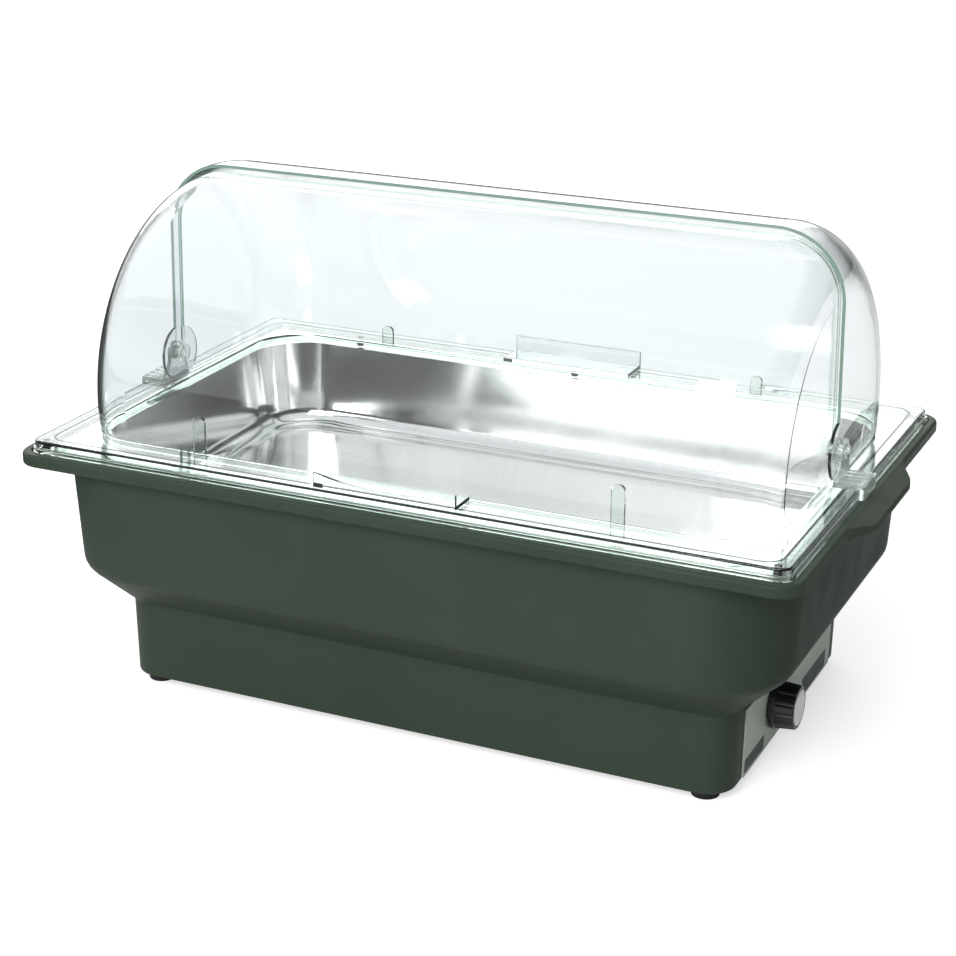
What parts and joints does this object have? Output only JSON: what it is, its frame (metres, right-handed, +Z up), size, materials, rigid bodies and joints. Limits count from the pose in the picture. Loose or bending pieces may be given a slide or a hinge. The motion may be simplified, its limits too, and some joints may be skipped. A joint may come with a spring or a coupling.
{
  "type": "electric chafing dish",
  "caption": "Electric table-top food warmer: dark moulded body with water bath and thermostat, lift-out food pan and clear roll-top lid in two hinged halves.",
  "frame": {"origin": "on the surface it stands on, under the middle of the body", "axes": "+X along the length towards the end with the thermostat knob, +Y to the back, +Z up"},
  "size_m": [0.585, 0.357, 0.3565],
  "materials": {
    "body_plastic": "dark green-grey, fine grain",
    "base_sheet": "dark coated sheet",
    "foot_rubber": "matt",
    "screw_steel": "zinc plated",
    "bath_steel": "satin stainless",
    "pan_steel": "polished inside, satin wall, stainless",
    "element_sheath": "heat-darkened sheath",
    "shield_aluminium": "mill finish",
    "plate_finish": "pale satin",
    "housing_plastic": "matt moulded",
    "bulb_metal": "copper-coloured metal",
    "terminal_plastic": "matt moulded",
    "gland_plastic": "fine grain",
    "knob_plastic": "semi-gloss",
    "cap_metal": "spun, satin",
    "clear_lid": "clear polycarbonate, faint green edge",
    "clear_pin": "clear moulded plastic"
  },
  "bodies": {
    "base": {"body_shell": "body_plastic", "bottom_plate": "base_sheet", "feet": "foot_rubber", "foot_screws": "screw_steel", "water_bath": "bath_steel", "heating_element": "element_sheath", "heater_clamps": "bath_steel", "heater_studs": "screw_steel", "heat_shield": "shield_aluminium", "shield_posts": "screw_steel", "control_plate": "plate_finish", "thermostat": "housing_plastic", "thermostat_nut": "screw_steel", "thermostat_bulb": "bulb_metal", "thermal_cutout": "housing_plastic", "terminal_block": "terminal_plastic", "cable_gland": "gland_plastic", "gland_nut": "gland_plastic"},
    "thermostat_knob": {"knob_shaft": "screw_steel", "knob": "knob_plastic", "knob_cap": "cap_metal"},
    "food_pan": {"food_pan": "pan_steel"},
    "lid_frame": {"lid_frame": "clear_lid", "guide_tabs": "clear_lid", "lid_cushions": "foot_rubber", "hinge_bracket_right": "clear_lid", "hinge_bracket_left": "clear_lid", "pivot_pins": "clear_pin", "pivot_retainers": "clear_pin"},
    "front_cover": {"front_cover": "clear_lid"},
    "rear_cover": {"rear_cover": "clear_lid"}
  },
  "joints": [
    {"name": "food_pan_lift", "type": "slide", "parent": "base", "child": "food_pan", "axis": [0, 0, 1], "range_m": [0, 0.12]},
    {"name": "lid_frame_lift", "type": "slide", "parent": "food_pan", "child": "lid_frame", "axis": [0, 0, 1], "range_m": [0, 0.1]},
    {"name": "front_cover_hinge", "type": "hinge", "parent": "lid_frame", "child": "front_cover", "pos_m": [0, -0.006, 0.21], "axis": [-1, 0, 0], "range_deg": [0, 88]},
    {"name": "rear_cover_hinge", "type": "hinge", "parent": "lid_frame", "child": "rear_cover", "pos_m": [0, -0.006, 0.21], "axis": [-1, 0, 0], "range_deg": [-88, 0]},
    {"name": "thermostat_knob_turn", "type": "hinge", "parent": "base", "child": "thermostat_knob", "pos_m": [0.24, -0.04, 0.0365], "axis": [-1, 0, 0], "range_deg": [0, 290]}
  ]
}
